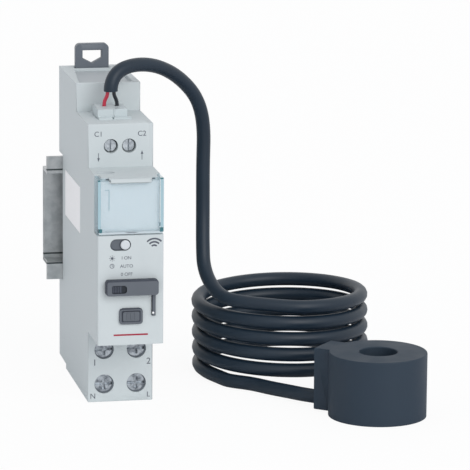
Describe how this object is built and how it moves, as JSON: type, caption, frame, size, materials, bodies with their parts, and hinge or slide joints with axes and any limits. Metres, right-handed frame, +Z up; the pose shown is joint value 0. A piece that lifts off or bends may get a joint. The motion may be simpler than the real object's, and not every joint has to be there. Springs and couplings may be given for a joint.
{
  "type": "smart contactor",
  "caption": "Narrow rail-mounted smart contactor with a hinged label window, sliding selector, clamp terminals and a ring current sensor on a coiled cord",
  "frame": {"origin": "under the middle of the device, on the plane that its lower end stands on", "axes": "+X to the right seen from the front, +Y from the front to the rail behind, +Z up along the case"},
  "size_m": [0.0917, 0.0908, 0.091],
  "materials": {
    "case": "light grey moulded polyamide, matt",
    "window": "clear polycarbonate with a cool tint",
    "card": "white card",
    "dark_trim": "dark grey moulded plastic, matt",
    "white_trim": "white moulded plastic, satin",
    "clip": "dark grey acetal, matt",
    "screw_steel": "zinc plated steel",
    "cage_steel": "zinc plated steel",
    "copper": "tinned copper bar, leaf and contacts",
    "rail_steel": "galvanised steel strip",
    "board": "glass epoxy board",
    "iron": "nickel plated soft iron",
    "electronics": "black moulded component bodies",
    "led": "clear light lens",
    "cord": "black-blue flexible sheath, matt",
    "core_red": "red insulation",
    "core_black": "black insulation",
    "ring": "black-blue moulded plastic, matt",
    "ring_iron": "wound core strip"
  },
  "bodies": {
    "housing": {"bulk_capacitor": "electronics", "button_bezel": "dark_trim", "cord_coil": "cord", "cord_lead": "cord", "cord_tail": "cord", "core_black": "core_black", "core_red": "core_red", "ct_terminal_block": "white_trim", "fixed_contact": "copper", "front_fascia": "case", "front_pcb": "board", "housing_tub": "case", "label_card": "card", "main_pcb": "board", "metering_chip": "electronics", "pair_switch": "dark_trim", "power_transformer": "iron", "radio_module": "iron", "relay_base": "clip", "relay_bobbin": "clip", "relay_core": "iron", "relay_winding": "copper", "relay_yoke": "iron", "side_cover": "case", "side_label": "card", "status_led": "led", "suppression_capacitor": "electronics", "terminal_bar_1": "copper", "terminal_bar_2": "copper", "terminal_bar_l": "copper", "terminal_bar_n": "copper", "toggle_switch": "dark_trim", "torus_core": "ring_iron", "torus_housing": "ring", "torus_lid": "ring", "torus_winding": "copper", "window_hinge_pins": "screw_steel"},
    "window": {"label_window": "window"},
    "toggle": {"toggle_knob": "white_trim"},
    "selector": {"mode_slider": "dark_trim", "selector_wiper": "copper"},
    "button": {"pair_button": "dark_trim"},
    "upper_clip": {"upper_rail_clip": "clip"},
    "lower_clip": {"lower_rail_clip": "clip"},
    "rail": {"din_rail": "rail_steel"},
    "armature": {"relay_armature": "iron"},
    "pusher": {"contact_pusher": "clip"},
    "contact_leaf": {"moving_contact_spring": "copper"},
    "screw_n": {"terminal_screw_n": "screw_steel"},
    "cage_n": {"terminal_cage_n": "cage_steel"},
    "screw_l": {"terminal_screw_l": "screw_steel"},
    "cage_l": {"terminal_cage_l": "cage_steel"},
    "screw_1": {"terminal_screw_1": "screw_steel"},
    "cage_1": {"terminal_cage_1": "cage_steel"},
    "screw_2": {"terminal_screw_2": "screw_steel"},
    "cage_2": {"terminal_cage_2": "cage_steel"},
    "screw_c1": {"ct_screw_c1": "screw_steel"},
    "cage_c1": {"ct_cage_c1": "cage_steel"},
    "screw_c2": {"ct_screw_c2": "screw_steel"},
    "cage_c2": {"ct_cage_c2": "cage_steel"}
  },
  "joints": [
    {"name": "window_hinge", "type": "hinge", "parent": "housing", "child": "window", "pos_m": [0, -0.0305, 0.0515], "axis": [1, 0, 0], "range_deg": [0, 90]},
    {"name": "toggle_slide", "type": "slide", "parent": "housing", "child": "toggle", "axis": [-1, 0, 0], "range_m": [0, 0.0024]},
    {"name": "selector_slide", "type": "slide", "parent": "housing", "child": "selector", "axis": [0, 0, 1], "range_m": [0, 0.0042]},
    {"name": "button_push", "type": "slide", "parent": "housing", "child": "button", "axis": [0, 1, 0], "range_m": [0, 0.0006], "stiffness_N_per_m": 600, "springref_m": -0.001},
    {"name": "upper_clip_slide", "type": "slide", "parent": "housing", "child": "upper_clip", "axis": [0, 0, 1], "range_m": [0, 0.0026]},
    {"name": "lower_clip_slide", "type": "slide", "parent": "housing", "child": "lower_clip", "axis": [0, 0, -1], "range_m": [0, 0.0026]},
    {"name": "rail_slide", "type": "slide", "parent": "housing", "child": "rail", "axis": [1, 0, 0], "range_m": [-0.022, 0.022]},
    {"name": "cage_n_rise", "type": "slide", "parent": "housing", "child": "cage_n", "axis": [0, -1, 0], "range_m": [0, 0.0039]},
    {"name": "screw_n_turn", "type": "hinge", "parent": "housing", "child": "screw_n", "pos_m": [-0.0044, -0.0148, 0.00495], "axis": [0, 1, 0], "range_deg": [0, 2006]},
    {"name": "cage_l_rise", "type": "slide", "parent": "housing", "child": "cage_l", "axis": [0, -1, 0], "range_m": [0, 0.0039]},
    {"name": "screw_l_turn", "type": "hinge", "parent": "housing", "child": "screw_l", "pos_m": [0.0044, -0.0148, 0.00495], "axis": [0, 1, 0], "range_deg": [0, 2006]},
    {"name": "cage_1_rise", "type": "slide", "parent": "housing", "child": "cage_1", "axis": [0, -1, 0], "range_m": [0, 0.0039]},
    {"name": "screw_1_turn", "type": "hinge", "parent": "housing", "child": "screw_1", "pos_m": [-0.0044, -0.0148, 0.0145], "axis": [0, 1, 0], "range_deg": [0, 2006]},
    {"name": "cage_2_rise", "type": "slide", "parent": "housing", "child": "cage_2", "axis": [0, -1, 0], "range_m": [0, 0.0039]},
    {"name": "screw_2_turn", "type": "hinge", "parent": "housing", "child": "screw_2", "pos_m": [0.0044, -0.0148, 0.0145], "axis": [0, 1, 0], "range_deg": [0, 2006]},
    {"name": "cage_c1_rise", "type": "slide", "parent": "housing", "child": "cage_c1", "axis": [0, -1, 0], "range_m": [0, 0.001]},
    {"name": "screw_c1_turn", "type": "hinge", "parent": "housing", "child": "screw_c1", "pos_m": [-0.0026, -0.0147, 0.07015], "axis": [0, 1, 0], "range_deg": [0, 901]},
    {"name": "cage_c2_rise", "type": "slide", "parent": "housing", "child": "cage_c2", "axis": [0, -1, 0], "range_m": [0, 0.001]},
    {"name": "screw_c2_turn", "type": "hinge", "parent": "housing", "child": "screw_c2", "pos_m": [0.0023, -0.0147, 0.07015], "axis": [0, 1, 0], "range_deg": [0, 901]},
    {"name": "pusher_slide", "type": "slide", "parent": "housing", "child": "pusher", "axis": [0, -1, 0], "range_m": [0, 0.00052], "stiffness_N_per_m": 100, "springref_m": -0.0026},
    {"name": "armature_hinge", "type": "hinge", "parent": "housing", "child": "armature", "pos_m": [-0.0012, 0.006, 0.0487], "axis": [-1, 0, 0], "range_deg": [0, 4]},
    {"name": "contact_leaf_hinge", "type": "hinge", "parent": "housing", "child": "contact_leaf", "pos_m": [-0.0044, -0.00065, 0.0245], "axis": [1, 0, 0], "range_deg": [0, 1.8]}
  ],
  "couplings": [
    {"joint": "screw_n_turn", "follows": "cage_n_rise", "rad_per_m": 8976},
    {"joint": "screw_l_turn", "follows": "cage_l_rise", "rad_per_m": 8976},
    {"joint": "screw_1_turn", "follows": "cage_1_rise", "rad_per_m": 8976},
    {"joint": "screw_2_turn", "follows": "cage_2_rise", "rad_per_m": 8976},
    {"joint": "screw_c1_turn", "follows": "cage_c1_rise", "rad_per_m": 15708},
    {"joint": "screw_c2_turn", "follows": "cage_c2_rise", "rad_per_m": 15708},
    {"joint": "armature_hinge", "follows": "pusher_slide", "rad_per_m": 133.33},
    {"joint": "contact_leaf_hinge", "follows": "pusher_slide", "rad_per_m": 58.667}
  ]
}
